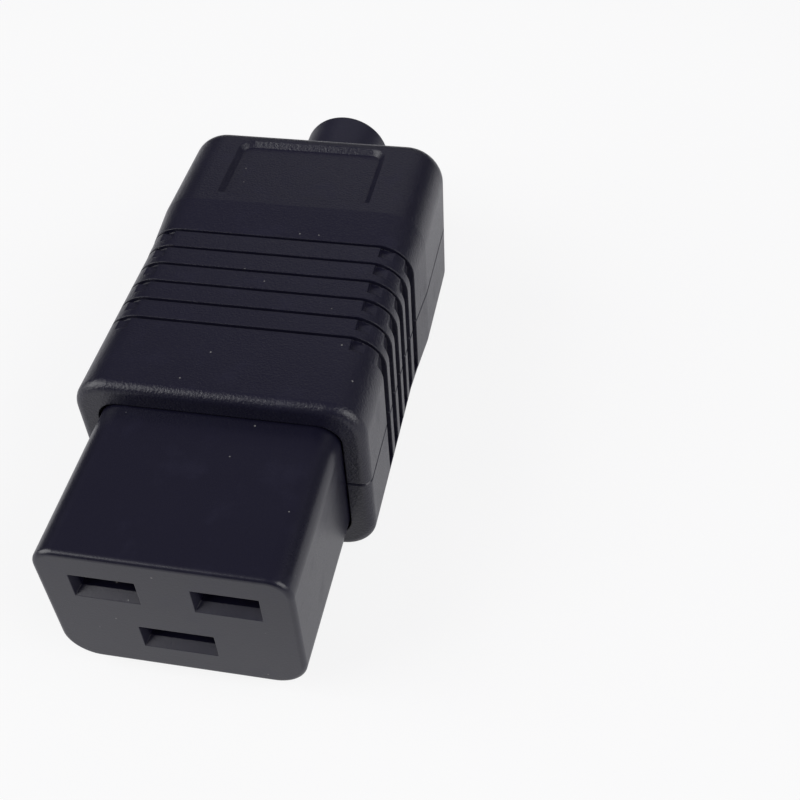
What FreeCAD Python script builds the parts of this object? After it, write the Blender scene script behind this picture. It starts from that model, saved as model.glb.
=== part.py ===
# C19 rewireable power connector, female, 16 A class, with a two-half clamshell housing.
# Every body is modelled in the socket frame: x = 0 on the centre plane, y = 0 on the mating
# face with +Y towards the cord, z = 0 on the middle of the nose. Its Placement then moves it to
# the part's own frame, whose origin is the middle of the whole footprint on the flat underside.
import FreeCAD, Part
import os
import Sketcher

DOC_NAME = "power_connector"
SHEET_NAME = "Sizes"

SIZES = [
    # place of the socket frame in the part's frame
    ("mate_y", -42.3, "mating face, from the middle of the overall length"),
    ("socket_z", 11.3, "middle of the nose, above the underside"),
    # nose block
    ("nose_half", 13.73, "half the nose's width at its mating face"),
    ("nose_high", 9.35, "half the nose's height at its mating face"),
    ("nose_top_radius", 2.7, "upper corners of the nose"),
    ("nose_low_radius", 3.9, "lower corners of the nose"),
    ("nose_draft", 0.5, "mould draft of the nose's sides, in degrees"),
    ("nose_edge", 0.6, "rounding around the mating face"),
    ("flange_front", 22.55, "front of the flange behind the housing's front wall"),
    ("flange_thick", 2.4, "thickness of the flange"),
    ("flange_half", 14.7, "half the flange's width"),
    ("flange_top", 10.4, "top of the flange above the nose's middle"),
    ("flange_low", -9.6, "bottom of the flange"),
    ("flange_radius", 2.4, "corners of the flange"),
    # pin openings
    ("live_x", 6.5, "line and neutral openings, from the centre plane"),
    ("live_z", 4.15, "line and neutral openings, above the nose's middle"),
    ("earth_z", -3.85, "earth opening, from the nose's middle"),
    ("live_wide", 7.2, "width of the line and neutral mouths"),
    ("earth_wide", 8.3, "width of the earth mouth"),
    ("mouth_high", 3.65, "height of each mouth"),
    ("mouth_taper", 0.4, "narrowing of each mouth's sides"),
    ("mouth_fall", 0.6, "narrowing of each mouth's top and bottom"),
    ("mouth_deep", 1.1, "depth of each tapered mouth"),
    ("face_wall", 2.6, "wall in front of the contact chambers"),
    ("chamber_extra", 0.6, "chamber width beyond its opening"),
    ("chamber_high", 4.8, "height of each contact chamber"),
    # housing
    ("shell_front", 20.33, "front face of the housing"),
    ("shell_half", 16.8, "half the housing's width in front"),
    ("shell_top", 12.48, "top of the housing in front, above the nose's middle"),
    ("shell_low", -11.3, "flat underside"),
    ("shell_radius", 4.4, "long corners of the housing"),
    ("parting", 0.6, "plane where the two halves meet"),
    ("waist_start", 44.6, "where the sides start to widen"),
    ("waist_middle", 48.35, "where the top starts to rise"),
    ("waist_end", 54.0, "crease where the rear block starts"),
    ("waist_half", 17.0, "half the width at the middle of the waist"),
    ("rear_half", 17.42, "half the width of the rear block"),
    ("rear_radius", 5.0, "upper long corners of the rear block"),
    ("rear_top", 13.08, "top of the rear block"),
    ("shell_rear", 70.7, "rear face of the housing"),
    ("front_edge", 1.2, "rounding of the front face's outer edge"),
    ("rear_edge", 3.1, "rounding of the rear face's outer edge"),
    ("parting_edge", 0.2, "chamfer of each half along the seam between them"),
    ("opening_half", 14.1, "half the width of the opening around the nose"),
    ("opening_high", 9.72, "half the height of the opening around the nose"),
    ("front_wall", 2.15, "front wall around the opening"),
    ("pocket_half", 14.9, "half the width of the pocket behind the front wall"),
    ("pocket_top", 10.6, "top of the front pocket"),
    ("pocket_low", -9.75, "floor of the front pocket"),
    ("pocket_end", 27.6, "shoulder behind the retaining plate"),
    ("cavity_half", 13.7, "half the width of the wiring space"),
    ("cavity_top", 10.5, "ceiling of the wiring space"),
    ("cavity_low", -9.6, "floor of the wiring space"),
    ("cavity_radius", 2.4, "corners of the spaces inside"),
    ("cavity_end", 67.9, "inside of the rear wall"),
    # label recess on the rear block
    ("recess_half", 10.05, "half the width of the shallow recess"),
    ("recess_start", 55.75, "front of the recess"),
    ("recess_end", 67.6, "rear of the recess"),
    ("recess_deep", 0.65, "depth of the recess"),
    ("recess_slope", 0.75, "run of each sloping side of the recess"),
    ("recess_radius", 2.0, "rear corners of the recess"),
    # allowances
    ("run_past", 1.0, "how far a cutting outline runs past the surface"),
    ("root", 0.5, "how far bosses and posts run into the wall"),
    ("tip_room", 0.5, "space beyond the tip of a housing screw"),
    ("wire_wall", 1.0, "wall in front of each wire hole"),
    # grip grooves
    ("groove_first", 31.9, "rear wall of the foremost groove"),
    ("groove_pitch", 3.28, "distance from groove to groove"),
    ("groove_count", 6, "number of grooves"),
    ("line_wide", 0.45, "width of the fine groove over the top"),
    ("line_deep", 0.5, "depth of the fine groove"),
    ("slot_wide", 2.1, "width of the grip slot down each side"),
    ("slot_deep", 0.75, "depth of the grip slot at the side"),
    ("slot_inner", 13.1, "inner end of the grip slot on the top"),
    ("slot_step", 0.65, "depth of the grip slot at the top"),
    ("slot_low", -7.2, "lower end of the grip slot"),
    # housing screws and bosses
    ("screw_x", 11.3, "housing screws, from the centre plane"),
    ("screw_near", 45.5, "front pair of housing screws"),
    ("screw_far", 64.0, "rear pair of housing screws"),
    ("boss_radius", 3.4, "screw boss"),
    ("well_radius", 2.7, "well for the screw head"),
    ("well_deep", 2.2, "depth of the well"),
    ("screw_hole", 1.45, "clearance hole in the lower boss"),
    ("pilot_hole", 1.25, "pilot hole in the upper boss"),
    ("pilot_end", 7.0, "blind end of the pilot hole"),
    ("screw_radius", 1.2, "shank of the housing screw"),
    ("head_radius", 2.5, "head of the housing screw"),
    ("head_high", 1.7, "height of the head"),
    ("drive_wide", 0.7, "width of the cross recess"),
    ("drive_long", 3.0, "length of the cross recess"),
    ("drive_deep", 0.9, "depth of the cross recess"),
    # cord entry
    ("cord_z", 0.6, "cord axis above the nose's middle"),
    ("cord_bore", 4.6, "bore for the cord"),
    ("guard_radius", 6.2, "outside of the cord guard"),
    ("guard_end", 84.6, "tail of the cord guard"),
    ("guard_round", 0.5, "rounding at the tail"),
    ("neck_radius", 5.4, "neck of the guard in the rear wall"),
    ("neck_hole", 5.5, "hole in the rear wall"),
    ("collar_radius", 7.2, "collar of the guard behind the rear wall"),
    ("collar_start", 66.1, "inner face of the collar"),
    ("guard_gap", 0.05, "free play on each side of the rear wall"),
    # cord clamp
    ("clamp_start", 55.4, "front of the cord clamp"),
    ("clamp_long", 5.0, "length of the cord clamp along the cord"),
    ("clamp_half", 10.2, "half the width of the cord clamp"),
    ("clamp_top", 6.0, "top of the clamp bar"),
    ("clamp_bore", 4.9, "hollow that presses on the cord"),
    ("post_inner", 6.2, "inner side of each clamp post"),
    ("clamp_screw_x", 8.2, "clamp screws, from the centre plane"),
    ("clamp_hole", 1.35, "clearance hole in the bar"),
    ("clamp_shank", 1.15, "shank of the clamp screw"),
    ("clamp_pilot", 1.2, "pilot hole in the post"),
    ("clamp_reach", 9.4, "length of the clamp screw under its head"),
    # retaining plate
    ("plate_thick", 2.4, "retaining plate behind the nose block"),
    ("plate_slot_high", 1.0, "height of each slot for a contact tail"),
    ("plate_slot_extra", 0.1, "width of each slot beyond its tail"),
    # contacts
    ("contact_front", 3.4, "lips of the contacts"),
    ("leaf_back", 18.0, "where the two leaves join"),
    ("leaf_gap", 1.8, "gap between the leaves, slightly under the pin's thickness"),
    ("leaf_thick", 0.7, "thickness of the contact strip"),
    ("lip_flare", 0.45, "opening of the lips"),
    ("lip_long", 1.6, "length of the flared lips"),
    ("live_leaf", 5.0, "width of the line and neutral leaves"),
    ("earth_leaf", 6.0, "width of the earth leaves"),
    ("tail_thick", 0.9, "thickness of each tail"),
    ("terminal_start", 30.5, "front of each terminal block"),
    ("terminal_long", 8.5, "length of each terminal block"),
    ("terminal_wide", 5.6, "width of each terminal block"),
    ("terminal_low", -3.0, "underside of each terminal block, from its tail"),
    ("terminal_top", 3.0, "top of each terminal block, from its tail"),
    ("wire_hole", 1.7, "wire hole of each terminal block"),
    ("wire_drop", 0.9, "wire hole below the tail"),
    ("terminal_tap", 1.3, "screw hole of each terminal block"),
    ("terminal_screw", 1.25, "shank of each terminal screw"),
    ("terminal_head", 2.1, "head of each terminal screw"),
    ("terminal_head_high", 1.3, "height of the terminal screw's head"),
    ("terminal_reach", 2.5, "length of the terminal screw under its head"),
    ("pad_thick", 0.5, "thickness of the wire clamp plate"),
    ("pad_half", 0.9, "half the width of the wire clamp plate"),
    ("pad_long", 5.0, "length of the wire clamp plate"),
    # contact springs
    ("spring_start", 8.0, "front of each contact spring"),
    ("spring_long", 4.5, "length of each contact spring"),
    ("spring_thick", 0.4, "thickness of each contact spring"),
    ("spring_gap", 0.03, "play between spring and leaf"),
]


class Size:
    """A value of the sheet, or a sum of them: its number now and its expression."""

    def __init__(self, number, text):
        self.number = number
        self.text = text

    def joined(self, sign, number, other):
        return Size(number, "(%s %s %s)" % (self.text, sign, other.text))

    def __add__(self, other):
        other = as_size(other)
        return self.joined("+", self.number + other.number, other)

    def __sub__(self, other):
        other = as_size(other)
        return self.joined("-", self.number - other.number, other)

    def __mul__(self, other):
        other = as_size(other)
        return self.joined("*", self.number * other.number, other)

    def __truediv__(self, other):
        other = as_size(other)
        return self.joined("/", self.number / other.number, other)

    def __neg__(self):
        return Size(-self.number, "(-1 * %s)" % self.text)


def as_size(value):
    return value if isinstance(value, Size) else Size(float(value), "%.6g" % value)


class Sheet:
    """The spreadsheet's aliases as attributes."""

    def __init__(self, document, rows):
        self.cells = document.addObject("Spreadsheet::Sheet", SHEET_NAME)
        self.known = {}
        for row, (alias, number, meaning) in enumerate(rows, start=1):
            self.cells.set("A%d" % row, alias)
            self.cells.set("B%d" % row, "%.6g" % number)
            self.cells.set("C%d" % row, meaning)
            self.cells.setAlias("B%d" % row, alias)
            self.known[alias] = Size(float(number), "%s.%s" % (SHEET_NAME, alias))

    def __getattr__(self, alias):
        return self.known[alias]


doc = FreeCAD.newDocument(DOC_NAME)
size = Sheet(doc, SIZES)
doc.recompute()
ZERO = as_size(0)
pieces = []


# ---------------------------------------------------------------- helpers

def new_body(label, x=ZERO, y=ZERO, z=ZERO):
    """A body whose own origin stands at (x, y, z) of the socket frame."""
    body = doc.addObject("PartDesign::Body", label)
    body.Label = label
    body.setExpression("Placement.Base.x", x.text)
    body.setExpression("Placement.Base.y", (size.mate_y + y).text)
    body.setExpression("Placement.Base.z", (size.socket_z + z).text)
    pieces.append(body)
    return body


def origin_feature(body, role):
    return next(item for item in body.Origin.OriginFeatures if item.Role == role)


def new_sketch(body, plane, name, offset=ZERO):
    """A sketch on a plane of the body's origin, moved along that plane's normal."""
    sketch = body.newObject("Sketcher::SketchObject", name)
    sketch.AttachmentSupport = (origin_feature(body, plane), [""])
    sketch.MapMode = "FlatFace"
    sketch.setExpression("AttachmentOffset.Base.z", offset.text)
    return sketch


def cross_section(body, name, station):
    """A sketch across the connector at a distance behind the mating face: x right, z up."""
    return new_sketch(body, "XZ_Plane", name, -station)


def hold(sketch, direction, geometry, point, distance):
    """Hold a sketch point at a signed distance from the sketch's origin."""
    if abs(distance.number) < 1e-9:
        axis = -2 if direction == "DistanceX" else -1
        sketch.addConstraint(Sketcher.Constraint("PointOnObject", geometry, point, axis))
        return
    index = sketch.addConstraint(
        Sketcher.Constraint(direction, -1, 1, geometry, point, distance.number))
    sketch.setExpression("Constraints[%d]" % index, distance.text)


def polygon(sketch, corners):
    """Closed outline of straight lines through corners, each a pair of sizes."""
    points = [FreeCAD.Vector(a.number, b.number, 0) for a, b in corners]
    count = len(points)
    first = sketch.GeometryCount
    for i in range(count):
        sketch.addGeometry(Part.LineSegment(points[i], points[(i + 1) % count]))
    for i in range(count):
        nxt = (i + 1) % count
        sketch.addConstraint(Sketcher.Constraint("Coincident", first + i, 2, first + nxt, 1))
    for i, (a, b) in enumerate(corners):
        hold(sketch, "DistanceX", first + i, 1, a)
        hold(sketch, "DistanceY", first + i, 1, b)


def rectangle(sketch, left, right, low, high):
    polygon(sketch, [(left, low), (right, low), (right, high), (left, high)])


def centred_rectangle(sketch, x, z, wide, high):
    rectangle(sketch, x - wide / 2, x + wide / 2, z - high / 2, z + high / 2)


def circle(sketch, x, y, radius):
    centre = FreeCAD.Vector(x.number, y.number, 0)
    index = sketch.addGeometry(
        Part.Circle(centre, FreeCAD.Vector(0, 0, 1), radius.number))
    hold(sketch, "DistanceX", index, 3, x)
    hold(sketch, "DistanceY", index, 3, y)
    bound = sketch.addConstraint(Sketcher.Constraint("Radius", index, radius.number))
    sketch.setExpression("Constraints[%d]" % bound, radius.text)


def rounded_path(sketch, corners):
    """Closed outline through corners (x, y, radius or None), with tangent arcs at the radii.

    Each side runs along a sketch axis, so an arc's ends lie one radius from its corner.
    """
    count = len(corners)
    spots = [FreeCAD.Vector(a.number, b.number, 0) for a, b, _ in corners]
    reach = [0.0 if radius is None else radius.number for _, _, radius in corners]

    def towards(start, end, distance):
        step = spots[end] - spots[start]
        return spots[start] + step * (distance / step.Length)

    lines = []
    for i in range(count):
        nxt = (i + 1) % count
        begin = towards(i, nxt, reach[i])
        finish = towards(nxt, i, reach[nxt])
        lines.append(sketch.addGeometry(Part.LineSegment(begin, finish)))
    for i in range(count):
        level = abs(spots[i].y - spots[(i + 1) % count].y) < 1e-9
        kind = "Horizontal" if level else "Vertical"
        sketch.addConstraint(Sketcher.Constraint(kind, lines[i]))
        along = "DistanceY" if level else "DistanceX"
        hold(sketch, along, lines[i], 1, corners[i][1] if level else corners[i][0])
    for i in range(count):
        before = lines[i - 1]
        after = lines[i]
        radius = corners[i][2]
        if radius is None:
            sketch.addConstraint(Sketcher.Constraint("Coincident", before, 2, after, 1))
            continue
        start = towards(i, i - 1 if i else count - 1, reach[i])
        end = towards(i, (i + 1) % count, reach[i])
        corner = spots[i]
        centre = start + end - corner
        middle = centre + (corner - centre).normalize() * reach[i]
        arc = sketch.addGeometry(Part.Arc(start, middle, end))
        turn = (corner - start).cross(end - corner).z
        first, last = (1, 2) if turn > 0 else (2, 1)
        sketch.addConstraint(Sketcher.Constraint("Tangent", before, 2, arc, first))
        sketch.addConstraint(Sketcher.Constraint("Tangent", after, 1, arc, last))
        bound = sketch.addConstraint(Sketcher.Constraint("Radius", arc, radius.number))
        sketch.setExpression("Constraints[%d]" % bound, radius.text)


def rounded_block(sketch, half, low, high, low_radius, high_radius):
    """Outline symmetric about x = 0."""
    rounded_path(sketch, [(-half, low, low_radius), (half, low, low_radius),
                          (half, high, high_radius), (-half, high, high_radius)])


def feature(body, kind, name, profile, **settings):
    """A feature on a profile; sizes among its settings are bound to the sheet."""
    item = body.newObject("PartDesign::" + kind, name)
    item.Profile = profile
    for key, value in settings.items():
        if isinstance(value, Size):
            item.setExpression(key, value.text)
        else:
            setattr(item, key, value)
    profile.Visibility = False
    doc.recompute()
    return item


def pad_back(body, name, profile, length):
    """Material from a cross section towards the cord."""
    return feature(body, "Pad", name, profile, Length=length, Reversed=True)


def cut(body, kind, name, profile, **settings):
    """A feature that must take material away."""
    before = body.Shape.Volume
    item = feature(body, kind, name, profile, **settings)
    if not body.Shape.Volume < before - 1e-6:
        raise RuntimeError("%s cuts nothing" % name)
    return item


def cut_back(body, name, profile, length):
    """A pocket from a cross section towards the cord."""
    return cut(body, "Pocket", name, profile, Length=length)


def loft(body, kind, name, sections):
    return feature(body, kind, name, sections[0], Sections=sections[1:], Ruled=True)


def edge_names(shape, wanted):
    return ["Edge%d" % (i + 1) for i, edge in enumerate(shape.Edges) if wanted(edge)]


def ease_edges(body, kind, name, setting, amount, wanted):
    """A fillet or chamfer on every edge of the body that the test picks."""
    base = body.Tip
    names = edge_names(base.Shape, wanted)
    if not names:
        raise RuntimeError("%s finds no edge" % name)
    eased = body.newObject("PartDesign::" + kind, name)
    eased.Base = (base, names)
    eased.setExpression(setting, amount.text)
    doc.recompute()


def round_edges(body, name, radius, wanted):
    ease_edges(body, "Fillet", name, "Radius", radius, wanted)


def chamfer_edges(body, name, leg, wanted):
    ease_edges(body, "Chamfer", name, "Size", leg, wanted)


def at_station(edge, station, tolerance=1e-4):
    """True for an edge that lies whole in the cross section at that distance."""
    box = edge.BoundBox
    return abs(box.YMin - station) < tolerance and abs(box.YMax - station) < tolerance


def spin(body, name, profile, axis):
    return feature(body, "Revolution", name, profile, ReferenceAxis=(profile, [axis]),
                   Angle=360.0)


# ---------------------------------------------------------------- nose block

OPENINGS = [
    ("line", -size.live_x, size.live_z, size.live_wide, size.live_leaf),
    ("neutral", size.live_x, size.live_z, size.live_wide, size.live_leaf),
    ("earth", ZERO, size.earth_z, size.earth_wide, size.earth_leaf),
]


def make_nose_block():
    """Insulating block with three tapered mouths and a chamber behind each."""
    body = new_body("nose_block")
    front = cross_section(body, "nose_front", ZERO)
    rounded_block(front, size.nose_half, -size.nose_high, size.nose_high,
                  size.nose_low_radius, size.nose_top_radius)
    feature(body, "Pad", "nose_form", front, Length=size.flange_front, Reversed=True,
            TaperAngle=size.nose_draft)
    round_edges(body, "nose_rounding", size.nose_edge, lambda edge: at_station(edge, 0.0))
    flange = cross_section(body, "flange_outline", size.flange_front)
    rounded_block(flange, size.flange_half, size.flange_low, size.flange_top,
                  size.flange_radius, size.flange_radius)
    pad_back(body, "flange", flange, size.flange_thick)
    whole = size.flange_front + size.flange_thick
    for name, x, z, wide, _ in OPENINGS:
        mouth = cross_section(body, name + "_mouth_outline", ZERO)
        centred_rectangle(mouth, x, z, wide, size.mouth_high)
        throat = cross_section(body, name + "_throat_outline", size.mouth_deep)
        inner_wide = wide - size.mouth_taper * 2
        inner_high = size.mouth_high - size.mouth_fall * 2
        centred_rectangle(throat, x, z, inner_wide, inner_high)
        loft(body, "SubtractiveLoft", name + "_mouth", [mouth, throat])
        slot = cross_section(body, name + "_slot_outline", size.mouth_deep)
        centred_rectangle(slot, x, z, inner_wide, inner_high)
        cut_back(body, name + "_slot", slot, size.face_wall)
        chamber = cross_section(body, name + "_chamber_outline", size.face_wall)
        centred_rectangle(chamber, x, z, inner_wide + size.chamber_extra, size.chamber_high)
        cut_back(body, name + "_chamber", chamber, whole)
    return body


def make_contact_retainer():
    """Plate that closes the chambers and lets the three tails through."""
    body = new_body("contact_retainer")
    start = size.flange_front + size.flange_thick
    outline = cross_section(body, "plate_outline", start)
    rounded_block(outline, size.flange_half, size.flange_low, size.flange_top,
                  size.flange_radius, size.flange_radius)
    pad_back(body, "plate", outline, size.plate_thick)
    slots = cross_section(body, "tail_slots_outline", start)
    for _, x, z, _, leaf in OPENINGS:
        centred_rectangle(slots, x, z, leaf + size.plate_slot_extra, size.plate_slot_high)
    cut_back(body, "tail_slots", slots, size.plate_thick)
    return body


# ---------------------------------------------------------------- housing

HOUSING_SCREWS = [
    ("front_left", -size.screw_x, size.screw_near),
    ("front_right", size.screw_x, size.screw_near),
    ("rear_left", -size.screw_x, size.screw_far),
    ("rear_right", size.screw_x, size.screw_far),
]


def half_section(body, name, station, half, top, top_radius, upper):
    """Cross section of one housing half: rounded outside, square at the parting plane."""
    sketch = cross_section(body, name, station)
    if upper:
        rounded_block(sketch, half, size.parting, top, None, top_radius)
    else:
        rounded_block(sketch, half, size.shell_low, size.parting, size.shell_radius, None)
    return sketch


def in_parting(edge, tolerance=1e-4):
    """True for an edge that lies whole in the parting plane."""
    box = edge.BoundBox
    level = size.parting.number
    return abs(box.ZMin - level) < tolerance and abs(box.ZMax - level) < tolerance


def make_outer_form(body, upper):
    front = half_section(body, "front_section", size.shell_front, size.shell_half,
                         size.shell_top, size.shell_radius, upper)
    pad_back(body, "front_form", front, size.waist_start - size.shell_front)
    waist = [
        half_section(body, "waist_section_start", size.waist_start, size.shell_half,
                     size.shell_top, size.shell_radius, upper),
        half_section(body, "waist_section_middle", size.waist_middle, size.waist_half,
                     size.shell_top, size.shell_radius, upper),
        half_section(body, "waist_section_end", size.waist_end, size.rear_half,
                     size.rear_top, size.rear_radius, upper),
    ]
    loft(body, "AdditiveLoft", "waist_form", waist)
    rear = half_section(body, "rear_section", size.waist_end, size.rear_half,
                        size.rear_top, size.rear_radius, upper)
    pad_back(body, "rear_form", rear, size.shell_rear - size.waist_end)

    def outer(station):
        return lambda edge: at_station(edge, station.number) and not in_parting(edge)

    round_edges(body, "front_rounding", size.front_edge, outer(size.shell_front))
    round_edges(body, "rear_rounding", size.rear_edge, outer(size.shell_rear))
    chamfer_edges(body, "seam_chamfer", size.parting_edge, in_parting)


def make_spaces(body, upper):
    """Opening for the nose, front pocket, wiring space and cord hole."""
    past = size.parting - size.run_past if upper else size.parting + size.run_past

    def space(name, station, length, half, low, high, radius_low, radius_high):
        outline = cross_section(body, name + "_outline", station)
        if upper:
            rounded_block(outline, half, past, high, None, radius_high)
        else:
            rounded_block(outline, half, low, past, radius_low, None)
        cut_back(body, name, outline, length)

    space("nose_opening", size.shell_front, size.front_wall, size.opening_half,
          -size.opening_high, size.opening_high, size.nose_low_radius, size.nose_top_radius)
    pocket_start = size.shell_front + size.front_wall
    space("front_pocket", pocket_start, size.pocket_end - pocket_start, size.pocket_half,
          size.pocket_low, size.pocket_top, size.cavity_radius, size.cavity_radius)
    space("wiring_space", size.pocket_end, size.cavity_end - size.pocket_end,
          size.cavity_half, size.cavity_low, size.cavity_top, size.cavity_radius,
          size.cavity_radius)
    hole = cross_section(body, "cord_hole_outline", size.cavity_end)
    circle(hole, ZERO, size.cord_z, size.neck_hole)
    cut_back(body, "cord_hole", hole, size.shell_rear - size.cavity_end)


def make_grooves(body, upper):
    """One groove around the grip, repeated towards the cord."""
    beyond = size.run_past
    parts = []
    start = size.groove_first - size.slot_wide
    slots = cross_section(body, "slot_outline", start)
    floor = size.shell_half - size.slot_deep
    outside = size.rear_half + beyond
    for side in (1, -1):
        if upper:
            corners = [(size.slot_inner, size.shell_top - size.slot_step),
                       (floor, size.shell_top - size.slot_step),
                       (floor, size.parting - beyond), (outside, size.parting - beyond),
                       (outside, size.rear_top + beyond),
                       (size.slot_inner, size.rear_top + beyond)]
        else:
            corners = [(floor, size.slot_low), (outside, size.slot_low),
                       (outside, size.parting + beyond), (floor, size.parting + beyond)]
        polygon(slots, [(x if side > 0 else -x, z) for x, z in corners])
    parts.append(cut_back(body, "slot", slots, size.slot_wide))
    if upper:
        fine = cross_section(body, "fine_groove_outline", size.groove_first - size.line_wide)
        inner = size.shell_half - size.line_deep
        foot = size.shell_top - size.shell_radius - beyond
        top = size.shell_top - size.line_deep
        bend = size.shell_radius - size.line_deep
        rounded_path(fine, [(-outside, foot, None), (-inner, foot, None), (-inner, top, bend),
                            (inner, top, bend), (inner, foot, None), (outside, foot, None),
                            (outside, size.rear_top + beyond, None),
                            (-outside, size.rear_top + beyond, None)])
        parts.append(cut_back(body, "fine_groove", fine, size.line_wide))
    before = body.Shape.Volume
    pattern = body.newObject("PartDesign::LinearPattern", "groove_pattern")
    pattern.Originals = parts
    pattern.Direction = (origin_feature(body, "Y_Axis"), [""])
    pattern.setExpression("Length", (size.groove_pitch * (size.groove_count - 1)).text)
    pattern.setExpression("Occurrences", size.groove_count.text)
    body.Tip = pattern
    doc.recompute()
    if not body.Shape.Volume < before - 1e-6:
        raise RuntimeError("the groove pattern cuts nothing")


def make_bosses(body, upper):
    """Screw bosses between the outer wall and the parting plane, with their holes."""
    wall = size.cavity_top if upper else size.cavity_low
    base = new_sketch(body, "XY_Plane", "boss_outline", size.parting)
    for _, x, y in HOUSING_SCREWS:
        circle(base, x, y, size.boss_radius)
    length = (wall - size.parting if upper else size.parting - wall) + size.root
    feature(body, "Pad", "bosses", base, Length=length, Reversed=not upper)
    if upper:
        holes = new_sketch(body, "XY_Plane", "pilot_outline", size.parting)
        for _, x, y in HOUSING_SCREWS:
            circle(holes, x, y, size.pilot_hole)
        cut(body, "Pocket", "pilot_holes", holes, Length=size.pilot_end - size.parting,
            Reversed=True)
        return
    holes = new_sketch(body, "XY_Plane", "clearance_outline", size.parting)
    for _, x, y in HOUSING_SCREWS:
        circle(holes, x, y, size.screw_hole)
    cut(body, "Pocket", "clearance_holes", holes, Length=size.parting - size.shell_low)
    wells = new_sketch(body, "XY_Plane", "well_outline", size.shell_low)
    for _, x, y in HOUSING_SCREWS:
        circle(wells, x, y, size.well_radius)
    cut(body, "Pocket", "head_wells", wells, Length=size.well_deep, Reversed=True)


def make_clamp_posts(body):
    """Two posts on the floor that carry the cord clamp bar."""
    posts = new_sketch(body, "XY_Plane", "post_outline", size.parting)
    for side in (1, -1):
        inner = size.post_inner if side > 0 else -size.clamp_half
        outer = size.clamp_half if side > 0 else -size.post_inner
        rectangle(posts, inner, outer, size.clamp_start, size.clamp_start + size.clamp_long)
    feature(body, "Pad", "clamp_posts", posts,
            Length=size.parting - size.cavity_low + size.root, Reversed=True)
    pilots = new_sketch(body, "XY_Plane", "post_pilot_outline", size.parting)
    middle = size.clamp_start + size.clamp_long / 2
    for x in (-size.clamp_screw_x, size.clamp_screw_x):
        circle(pilots, x, middle, size.clamp_pilot)
    cut(body, "Pocket", "post_pilots", pilots, Length=size.clamp_reach)


def recess_outline(body, name, level, inset):
    """Outline of the recess at a level: square in front, rounded at the rear."""
    sketch = new_sketch(body, "XY_Plane", name, level)
    half = size.recess_half - inset
    start = size.recess_start + inset
    end = size.recess_end - inset
    radius = size.recess_radius - inset
    rounded_path(sketch, [(-half, start, None), (half, start, None), (half, end, radius),
                          (-half, end, radius)])
    return sketch


def make_recess(body):
    """Shallow recess with sloping sides on the rear block."""
    mouth = recess_outline(body, "recess_mouth", size.rear_top, ZERO)
    floor = recess_outline(body, "recess_floor", size.rear_top - size.recess_deep,
                           size.recess_slope)
    loft(body, "SubtractiveLoft", "recess", [mouth, floor])


def make_shell(label, upper):
    body = new_body(label)
    make_outer_form(body, upper)
    make_spaces(body, upper)
    make_bosses(body, upper)
    if upper:
        make_recess(body)
    else:
        make_clamp_posts(body)
    make_grooves(body, upper)
    return body


# ---------------------------------------------------------------- cord entry

def make_cord_guard():
    """Soft sleeve with a collar behind the rear wall and a smooth round tail."""
    body = new_body("cord_guard", z=size.cord_z)
    profile = new_sketch(body, "YZ_Plane", "guard_profile")
    neck_start = size.cavity_end - size.guard_gap
    neck_end = size.shell_rear + size.guard_gap
    polygon(profile, [
        (size.collar_start, size.cord_bore), (size.guard_end, size.cord_bore),
        (size.guard_end, size.guard_radius), (neck_end, size.guard_radius),
        (neck_end, size.neck_radius), (neck_start, size.neck_radius),
        (neck_start, size.collar_radius), (size.collar_start, size.collar_radius)])
    spin(body, "guard_form", profile, "H_Axis")

    def tail_rim(edge):
        return at_station(edge, size.guard_end.number) and \
            abs(edge.BoundBox.XMax - size.guard_radius.number) < 1e-3

    round_edges(body, "tail_rounding", size.guard_round, tail_rim)
    return body


def make_cord_clamp_bar():
    """Bar that presses the cord onto the lower half."""
    body = new_body("cord_clamp_bar")
    outline = cross_section(body, "bar_outline", size.clamp_start)
    rectangle(outline, -size.clamp_half, size.clamp_half, size.parting, size.clamp_top)
    pad_back(body, "bar", outline, size.clamp_long)
    hollow = cross_section(body, "hollow_outline", size.clamp_start)
    circle(hollow, ZERO, size.cord_z, size.clamp_bore)
    cut_back(body, "hollow", hollow, size.clamp_long)
    holes = new_sketch(body, "XY_Plane", "bar_holes_outline", size.parting)
    middle = size.clamp_start + size.clamp_long / 2
    for x in (-size.clamp_screw_x, size.clamp_screw_x):
        circle(holes, x, middle, size.clamp_hole)
    cut(body, "Pocket", "bar_holes", holes, Length=size.clamp_top - size.parting,
        Reversed=True)
    return body


# ---------------------------------------------------------------- screws

def make_screw(label, place, shank, reach, head, head_high, upward):
    """Pan-head screw with a cross recess; its origin is the middle of the head's seat."""
    body = new_body(label, *place)
    turn = 1 if upward else -1
    profile = new_sketch(body, "XZ_Plane", "screw_profile")
    polygon(profile, [(ZERO, head_high * -turn), (head, head_high * -turn), (head, ZERO),
                      (shank, ZERO), (shank, reach * turn), (ZERO, reach * turn)])
    spin(body, "screw_form", profile, "V_Axis")
    for name, wide, long in (("drive_across", size.drive_long, size.drive_wide),
                             ("drive_along", size.drive_wide, size.drive_long)):
        drive = new_sketch(body, "XY_Plane", name + "_outline", head_high * -turn)
        centred_rectangle(drive, ZERO, ZERO, wide, long)
        cut(body, "Pocket", name, drive, Length=size.drive_deep, Reversed=upward)
    return body


def make_housing_screws():
    seat = size.shell_low + size.well_deep
    for name, x, y in HOUSING_SCREWS:
        make_screw("housing_screw_" + name, (x, y, seat), size.screw_radius,
                   size.pilot_end - seat - size.tip_room, size.head_radius, size.head_high, True)


def make_clamp_screws():
    middle = size.clamp_start + size.clamp_long / 2
    for name, x in (("left", -size.clamp_screw_x), ("right", size.clamp_screw_x)):
        make_screw("cord_clamp_screw_" + name, (x, middle, size.clamp_top),
                   size.clamp_shank, size.clamp_reach, size.head_radius, size.head_high, False)


# ---------------------------------------------------------------- contacts

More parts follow.
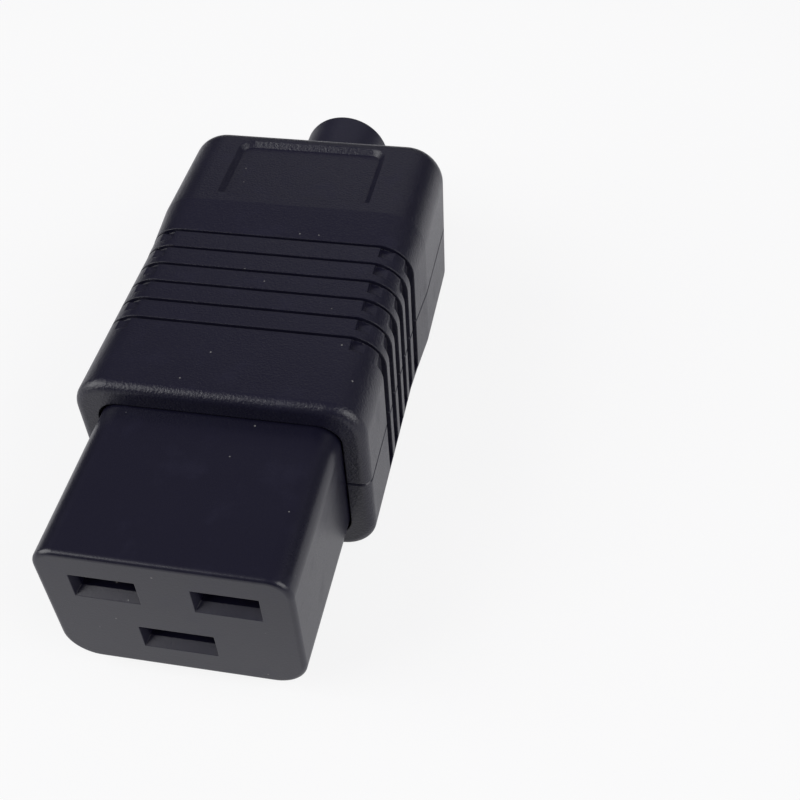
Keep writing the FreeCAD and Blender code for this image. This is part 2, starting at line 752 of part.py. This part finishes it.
def make_contact(name, x, z, leaf):
    """Folded strip that grips a flat pin, with its tail and terminal block."""
    body = new_body(name + "_contact", x, ZERO, z)
    inner = size.leaf_gap / 2
    outer = inner + size.leaf_thick
    strip = new_sketch(body, "YZ_Plane", "strip_profile")
    lip = size.contact_front
    straight = size.contact_front + size.lip_long
    join = size.leaf_back
    back = size.leaf_back + size.leaf_thick
    tail = size.tail_thick / 2
    flare = size.lip_flare
    end = size.terminal_start
    polygon(strip, [(lip, -inner - flare), (lip, -outer - flare), (straight, -outer),
                    (back, -outer), (back, -tail), (end, -tail), (end, tail), (back, tail),
                    (back, outer), (straight, outer), (lip, outer + flare),
                    (lip, inner + flare), (straight, inner), (join, inner), (join, -inner),
                    (straight, -inner)])
    feature(body, "Pad", "strip", strip, Length=leaf, Midplane=True)
    block = cross_section(body, "terminal_outline", size.terminal_start)
    rectangle(block, -size.terminal_wide / 2, size.terminal_wide / 2, size.terminal_low,
              size.terminal_top)
    pad_back(body, "terminal", block, size.terminal_long)
    wire = cross_section(body, "wire_hole_outline", size.terminal_start + size.wire_wall)
    circle(wire, ZERO, -size.wire_drop, size.wire_hole)
    cut_back(body, "wire_hole", wire, size.terminal_long)
    tap = new_sketch(body, "XY_Plane", "tap_outline", size.terminal_top)
    circle(tap, ZERO, size.terminal_start + size.terminal_long / 2, size.terminal_tap)
    cut(body, "Pocket", "tap", tap, Length=size.terminal_top + size.wire_drop)
    return body


def make_contact_spring(name, x, z, leaf):
    """Steel band around the two leaves."""
    body = new_body(name + "_contact_spring", x, ZERO, z)
    inner_half = leaf / 2 + size.spring_gap
    inner_high = size.leaf_gap / 2 + size.leaf_thick + size.spring_gap
    outline = cross_section(body, "band_outline", size.spring_start)
    rectangle(outline, -inner_half - size.spring_thick, inner_half + size.spring_thick,
              -inner_high - size.spring_thick, inner_high + size.spring_thick)
    pad_back(body, "band", outline, size.spring_long)
    window = cross_section(body, "window_outline", size.spring_start)
    rectangle(window, -inner_half, inner_half, -inner_high, inner_high)
    cut_back(body, "window", window, size.spring_long)
    return body


def make_terminal_screw(name, x, z):
    middle = size.terminal_start + size.terminal_long / 2
    make_screw(name + "_terminal_screw", (x, middle, z + size.terminal_top),
               size.terminal_screw, size.terminal_reach, size.terminal_head,
               size.terminal_head_high, False)


def make_wire_clamp_plate(name, x, z):
    """Small plate that the terminal screw presses onto the wire."""
    middle = size.terminal_start + size.terminal_long / 2
    body = new_body(name + "_wire_clamp_plate", x, middle,
                    z + size.terminal_top - size.terminal_reach)
    outline = new_sketch(body, "XY_Plane", "pad_outline")
    centred_rectangle(outline, ZERO, ZERO, size.pad_half * 2, size.pad_long)
    feature(body, "Pad", "pad", outline, Length=size.pad_thick, Reversed=True)
    return body


# ---------------------------------------------------------------- build and write

def build():
    make_nose_block()
    make_contact_retainer()
    make_shell("upper_shell", True)
    make_shell("lower_shell", False)
    make_cord_guard()
    make_cord_clamp_bar()
    make_clamp_screws()
    make_housing_screws()
    for name, x, z, _, leaf in OPENINGS:
        make_contact(name, x, z, leaf)
        make_contact_spring(name, x, z, leaf)
        make_terminal_screw(name, x, z)
        make_wire_clamp_plate(name, x, z)
    doc.recompute()


def check():
    for item in doc.Objects:
        if "Invalid" in item.State or "Error" in item.State:
            raise RuntimeError("%s: %s" % (item.Name, item.State))
    for piece in pieces:
        shape = piece.Shape
        if shape.isNull() or not shape.isValid() or len(shape.Solids) != 1:
            raise RuntimeError("%s has %d solids" % (piece.Label, len(shape.Solids)))


def write():
    os.makedirs("parts", exist_ok=True)
    for piece in pieces:
        piece.Shape.exportStep(os.path.join("parts", piece.Label + ".step"))


build()
check()
write()
whole = FreeCAD.BoundBox()
for built in pieces:
    whole.add(built.Shape.BoundBox)
    print("%-26s %10.3f mm3" % (built.Label, built.Shape.Volume))
print("overall %.2f x %.2f x %.2f mm" % (whole.XLength, whole.YLength, whole.ZLength))
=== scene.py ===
"""Looks of the C19 power connector: finishes for every moulded, pressed and turned piece, a pale
sweep to stand it on, soft lamps and the camera. All sizes are in metres."""

import math

import bpy
import bmesh
from mathutils import Matrix, Vector

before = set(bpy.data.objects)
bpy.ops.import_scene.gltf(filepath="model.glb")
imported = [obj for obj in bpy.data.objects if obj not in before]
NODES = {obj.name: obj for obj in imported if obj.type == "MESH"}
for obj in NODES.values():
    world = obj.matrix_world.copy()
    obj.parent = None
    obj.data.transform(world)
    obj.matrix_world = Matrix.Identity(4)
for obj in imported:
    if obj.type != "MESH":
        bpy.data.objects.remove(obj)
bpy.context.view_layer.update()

# the colour sockets of a Mix node: its two colours and its result
MIX_LOW = 6
MIX_HIGH = 7
MIX_COLOUR = 2

# tints, as shares of red, green and blue
PLAIN = (1.0, 1.0, 1.0)
INKY = (1.0, 0.94, 2.40)
INKY_RUBBER = (1.0, 0.95, 2.3)
DUST = (1.0, 0.98, 0.95)

# colour of the room's dim light
ROOM = (0.82, 0.77, 1.05, 1.0)

# how marks are drawn out along each axis
RINGS = (0.2, 1.0, 0.2)
ALONG_STRIP = (1.0, 0.12, 1.0)
ALONG_SHANK = (1.0, 1.0, 0.3)


# ---------------------------------------------------------------- shader sums
class Signal:
    """One output of a material's node tree. A sum written on it adds the Math nodes it needs."""

    def __init__(self, tree, socket=None):
        self.tree = tree
        self.socket = socket

    def node(self, kind, settings=None, inputs=None, output=0):
        """Adds a node of that kind: its settings first, then a value or a link for each input."""
        made = self.tree.nodes.new(kind)
        for name, value in (settings or {}).items():
            setattr(made, name, value)
        for name, value in (inputs or {}).items():
            if isinstance(value, Signal):
                self.tree.links.new(value.socket, made.inputs[name])
            else:
                made.inputs[name].default_value = value
        return Signal(self.tree, made.outputs[output])

    def maths(self, operation, first, second):
        """One Math node on two values."""
        return self.node("ShaderNodeMath", {"operation": operation}, {0: first, 1: second})

    def __add__(self, other):
        return self.maths("ADD", self, other)

    def __radd__(self, other):
        return self.maths("ADD", other, self)

    def __sub__(self, other):
        return self.maths("SUBTRACT", self, other)

    def __rsub__(self, other):
        return self.maths("SUBTRACT", other, self)

    def __mul__(self, other):
        return self.maths("MULTIPLY", self, other)

    def __rmul__(self, other):
        return self.maths("MULTIPLY", other, self)

    def held(self):
        """The value kept between 0 and 1."""
        return self.maths("MAXIMUM", self.maths("MINIMUM", self, 1.0), 0.0)


def smooth_step(value, low, high):
    """0 below low, 1 above high, with an eased rise between them."""
    return value.node(
        "ShaderNodeMapRange",
        {"interpolation_type": "SMOOTHSTEP"},
        {"Value": value, "From Min": low, "From Max": high},
    )


def noise(place, size, detail=2.0, rough=0.5):
    """Soft noise, about 0 to 1, whose lumps are that many metres across."""
    return place.node(
        "ShaderNodeTexNoise",
        None,
        {"Vector": place, "Scale": 1.0 / size, "Detail": detail, "Roughness": rough},
    )


def cells(place, size):
    """Distance to the nearest of many scattered points, in cell widths."""
    return place.node("ShaderNodeTexVoronoi", None, {"Vector": place, "Scale": 1.0 / size})


def reach_of(place):
    """Distance from the middle of the stage."""
    return place.node(
        "ShaderNodeVectorMath", {"operation": "LENGTH"}, {0: place}, output="Value"
    )


def stretched(place, scale):
    """The place, scaled along each axis, for marks that run one way."""
    return place.node("ShaderNodeMapping", None, {"Vector": place, "Scale": scale})


def blended(factor, low, high):
    """A colour between low and high."""
    return factor.node(
        "ShaderNodeMix",
        {"data_type": "RGBA"},
        {"Factor": factor, MIX_LOW: low, MIX_HIGH: high},
        output=MIX_COLOUR,
    )


def grey(level, tint=PLAIN):
    """A colour of that level with a tint on it."""
    return tuple(level * part for part in tint) + (1.0,)


def rounded_normal(place, radius):
    """Surface direction with every sharp edge eased over that radius."""
    return place.node("ShaderNodeBevel", {"samples": 6}, {"Radius": radius})


def relief(height, depth, distance, normal):
    """Surface direction after raising it by a height of 0 to 1."""
    return height.node(
        "ShaderNodeBump",
        None,
        {"Height": height, "Strength": depth, "Distance": distance, "Normal": normal},
    )


# ---------------------------------------------------------------- finishes
def new_finish(name):
    """An empty material, its output node and where each point of the surface lies."""
    material = bpy.data.materials.new(name)
    material.use_nodes = True
    tree = material.node_tree
    tree.nodes.clear()
    place = Signal(tree).node("ShaderNodeTexCoord", output="Object")
    return material, place


def put_surface(shader, kind="ShaderNodeOutputMaterial"):
    """Joins a shader to the output of its material or of the world."""
    end = shader.tree.nodes.new(kind)
    shader.tree.links.new(shader.socket, end.inputs["Surface"])


def principled(place, fixed, varying):
    """The surface shader: fixed numbers on its own sockets, links for what varies."""
    put_surface(place.node("ShaderNodeBsdfPrincipled", None, {**fixed, **varying}))


def moulded_plastic(name, base, tint, gloss, grain_size, grain_depth, edge, dust):
    """Black moulded plastic: fine mould grain, rubbed patches, flow shading and a few dust specks."""
    material, place = new_finish(name)
    grain = noise(place, size=grain_size, detail=3.0, rough=0.6)
    pits = cells(place, size=grain_size * 1.7)
    cloud = noise(place, size=0.011)
    rubbed = smooth_step(noise(place, size=0.0045, detail=4.0, rough=0.6), low=0.52, high=0.74)
    speck_core = 1.0 - smooth_step(cells(place, size=0.0022), low=0.035, high=0.062)
    speck_pick = smooth_step(noise(place, size=0.0052, detail=1.0), low=0.50, high=0.56)
    specks = speck_core * speck_pick * dust
    level = (cloud * 0.35 + grain * 0.25 + 0.2).held()
    plain = blended(level, grey(base * 0.78, tint), grey(base * 1.25, tint))
    worn = blended(rubbed * 0.3, plain, grey(base * 1.9, tint))
    colour = blended(specks, worn, grey(0.2, DUST))
    roughness = (gloss + grain * 0.10 + rubbed * 0.06 + cloud * 0.05 + specks * 0.3).held()
    height = (grain * 0.65 + pits * 0.35 + specks * 0.8).held()
    normal = relief(height, grain_depth, distance=0.0002, normal=rounded_normal(place, edge))
    principled(
        place,
        {"IOR": 1.54, "Metallic": 0.0},
        {"Base Color": colour, "Roughness": roughness, "Normal": normal},
    )
    return material


def rubber(name, base, gloss):
    """Matt black rubber of the cord guard, with faint rings left by the mould."""
    material, place = new_finish(name)
    grain = noise(place, size=0.00028, detail=3.0, rough=0.6)
    rings = noise(stretched(place, RINGS), size=0.0011)
    cloud = noise(place, size=0.006)
    level = (cloud * 0.5 + grain * 0.3 + 0.1).held()
    colour = blended(level, grey(base * 0.8, INKY_RUBBER), grey(base * 1.5, INKY_RUBBER))
    roughness = (gloss + grain * 0.1 + cloud * 0.06).held()
    height = (grain * 0.6 + rings * 0.4).held()
    edges = rounded_normal(place, radius=0.00025)
    normal = relief(height, depth=0.35, distance=0.00012, normal=edges)
    principled(
        place,
        {"IOR": 1.5},
        {"Base Color": colour, "Roughness": roughness, "Normal": normal},
    )
    return material


def metal(name, low, high, gloss, streak, edge):
    """Drawn or plated metal: fine streaks along the stock, cloudy tarnish, eased edges."""
    material, place = new_finish(name)
    fine = noise(stretched(place, streak), size=0.00018, detail=3.0, rough=0.6)
    tarnish = smooth_step(noise(place, size=0.0032, detail=3.0, rough=0.6), low=0.42, high=0.7)
    colour = blended((fine * 0.5 + tarnish * 0.5).held(), high, low)
    roughness = (gloss + fine * 0.12 + tarnish * 0.14).held()
    normal = relief(fine, depth=0.18, distance=0.00004, normal=rounded_normal(place, edge))
    principled(
        place,
        {"Metallic": 1.0},
        {"Base Color": colour, "Roughness": roughness, "Normal": normal},
    )
    return material


FINISHES = {
    "nose_plastic": moulded_plastic(
        "nose_black_satin", base=0.0072, tint=INKY, gloss=0.22,
        grain_size=0.00018, grain_depth=0.07, edge=0.00010, dust=0.9
    ),
    "housing_plastic": moulded_plastic(
        "housing_black_grained", base=0.0080, tint=INKY, gloss=0.24,
        grain_size=0.00019, grain_depth=0.34, edge=0.00018, dust=1.0
    ),
    "retainer_plastic": moulded_plastic(
        "retainer_black", base=0.009, tint=PLAIN, gloss=0.40,
        grain_size=0.00030, grain_depth=0.4, edge=0.00012, dust=0.3
    ),
    "guard_rubber": rubber("guard_black_rubber", base=0.0095, gloss=0.36),
    "contact_brass": metal(
        "contact_tinned_brass", low=(0.42, 0.30, 0.12, 1.0), high=(0.72, 0.56, 0.27, 1.0),
        gloss=0.24, streak=ALONG_STRIP, edge=0.00006
    ),
    "spring_steel": metal(
        "spring_bright_steel", low=(0.42, 0.43, 0.45, 1.0), high=(0.66, 0.67, 0.69, 1.0),
        gloss=0.22, streak=ALONG_STRIP, edge=0.00004
    ),
    "screw_steel": metal(
        "screw_zinc_plate", low=(0.44, 0.45, 0.46, 1.0), high=(0.70, 0.71, 0.73, 1.0),
        gloss=0.26, streak=ALONG_SHANK, edge=0.00010
    ),
}


def dress_nodes():
    """Gives every CAD node the finish that its name calls for."""
    slots = {
        "nose_block": "nose_plastic",
        "contact_retainer": "retainer_plastic",
        "upper_shell": "housing_plastic",
        "lower_shell": "housing_plastic",
        "cord_clamp_bar": "retainer_plastic",
        "cord_guard": "guard_rubber",
    }
    for name, node in NODES.items():
        if name in slots:
            slot = slots[name]
        elif name.endswith("_spring"):
            slot = "spring_steel"
        elif "screw" in name or name.endswith("_plate"):
            slot = "screw_steel"
        else:
            slot = "contact_brass"
        node.data.materials.clear()
        node.data.materials.append(FINISHES[slot])


# ---------------------------------------------------------------- stage, lamps and camera
def stage_finish():
    """Pale paper that stays near white to the eye and in nearby reflections, and keeps its shadow.
    Further out it turns dark grey and glows less in reflections: painted shade that stands for the
    unlit room.
    """
    material, place = new_finish("stage_paper")
    mottle = noise(place, size=0.02)
    # painted shade: from 0.1 m to 0.3 m out the paper darkens to grey 0.14, and the sweep's foot and
    # wall stay that dark, standing for the unlit room
    far_painted_shade = smooth_step(reach_of(place), low=0.10, high=0.30)
    near_paper = blended(mottle, grey(0.88), grey(0.9))
    paper = place.node(
        "ShaderNodeBsdfDiffuse", None, {"Color": blended(far_painted_shade, near_paper, grey(0.14))}
    )
    glow = place.node("ShaderNodeEmission", None, {"Color": grey(1.0), "Strength": 1.0})
    seen = place.node("ShaderNodeLightPath", output="Is Camera Ray")
    mirrored = place.node("ShaderNodeLightPath", output="Is Glossy Ray")
    through = place.node("ShaderNodeLightPath", output="Is Transmission Ray")
    # the glow seen in reflections fades out with the painted shade further from the middle
    share = (seen * 0.86 + (mirrored + through) * (1.0 - far_painted_shade) * 0.35).held()
    put_surface(place.node("ShaderNodeMixShader", None, {0: share, 1: paper, 2: glow}))
    return material


def make_stage():
    """A round sweep: flat floor, a curved foot and a low wall, turned about the upright axis."""
    flat, foot, wall = 0.9, 0.35, 0.75
    foot_steps = 12
    count = 96
    profile = [(0.12, 0.0), (0.3, 0.0), (0.6, 0.0), (flat, 0.0)]
    for step in range(1, foot_steps + 1):
        turn = math.radians(90.0 * step / foot_steps)
        profile.append((flat + foot * math.sin(turn), foot * (1 - math.cos(turn))))
    profile.append((flat + foot, wall))
    mesh = bpy.data.meshes.new("stage_sweep")
    shape = bmesh.new()
    middle = shape.verts.new((0.0, 0.0, 0.0))
    rings = []
    for radius, height in profile:
        ring = []
        for index in range(count):
            turn = 2 * math.pi * index / count
            ring.append(
                shape.verts.new((radius * math.cos(turn), radius * math.sin(turn), height))
            )
        rings.append(ring)
    for index in range(count):
        after = (index + 1) % count
        shape.faces.new((middle, rings[0][index], rings[0][after]))
        for low, high in zip(rings, rings[1:]):
            shape.faces.new((low[index], high[index], high[after], low[after]))
    for face in shape.faces:
        face.smooth = True
    shape.to_mesh(mesh)
    shape.free()
    sweep = bpy.data.objects.new("stage_sweep", mesh)
    bpy.context.scene.collection.objects.link(sweep)
    sweep.data.materials.append(stage_finish())


def make_lamp(name, place, wide, high, power):
    """A white soft box at a place, aimed at the middle of the part."""
    data = bpy.data.lights.new(name, "AREA")
    data.shape = "RECTANGLE"
    data.size = wide
    data.size_y = high
    data.energy = power
    lamp = bpy.data.objects.new(name, data)
    bpy.context.scene.collection.objects.link(lamp)
    aim = Vector((0.0, 0.0, 0.01)) - Vector(place)
    lamp.location = place
    lamp.rotation_mode = "QUATERNION"
    lamp.rotation_quaternion = aim.to_track_quat("-Z", "Y")
    lamp.visible_camera = False


def make_lamps():
    """A soft box on each side, in front of the part, and a weak one behind it."""
    make_lamp("key_box", (-0.80, -0.32, 0.58), wide=0.94, high=0.90, power=8.6)
    make_lamp("fill_box", (0.82, -0.22, 0.54), wide=0.96, high=0.70, power=6.2)
    make_lamp("back_box", (0.0, 1.05, 0.60), wide=1.00, high=0.36, power=0.50)


def make_world():
    """A dim, slightly blue room."""
    world = bpy.data.worlds.new("studio_room")
    world.use_nodes = True
    tree = world.node_tree
    tree.nodes.clear()
    room = Signal(tree).node("ShaderNodeBackground", None, {"Color": ROOM, "Strength": 0.18})
    put_surface(room, "ShaderNodeOutputWorld")
    bpy.context.scene.world = world


def make_camera():
    """A hand-held close view from above, in front and slightly to the right, with a little roll."""
    data = bpy.data.cameras.new("view_camera")
    data.sensor_width = 36.0
    data.lens = 52.757
    data.shift_x = 0.0061
    data.shift_y = 0.0002
    data.clip_start = 0.005
    data.clip_end = 20.0
    data.dof.use_dof = False
    camera = bpy.data.objects.new("view_camera", data)
    bpy.context.scene.collection.objects.link(camera)
    right = Vector((0.98092, 0.18862, -0.04710))
    up = Vector((-0.10337, 0.71121, 0.69533))
    back = right.cross(up)
    turn = Matrix((right, up, back)).transposed()
    camera.matrix_world = Matrix.Translation((0.040191, -0.103777, 0.112997)) @ turn.to_4x4()
    bpy.context.scene.camera = camera


make_camera()
dress_nodes()
make_stage()
make_lamps()
make_world()
bpy.context.scene.view_settings.view_transform = "Standard"
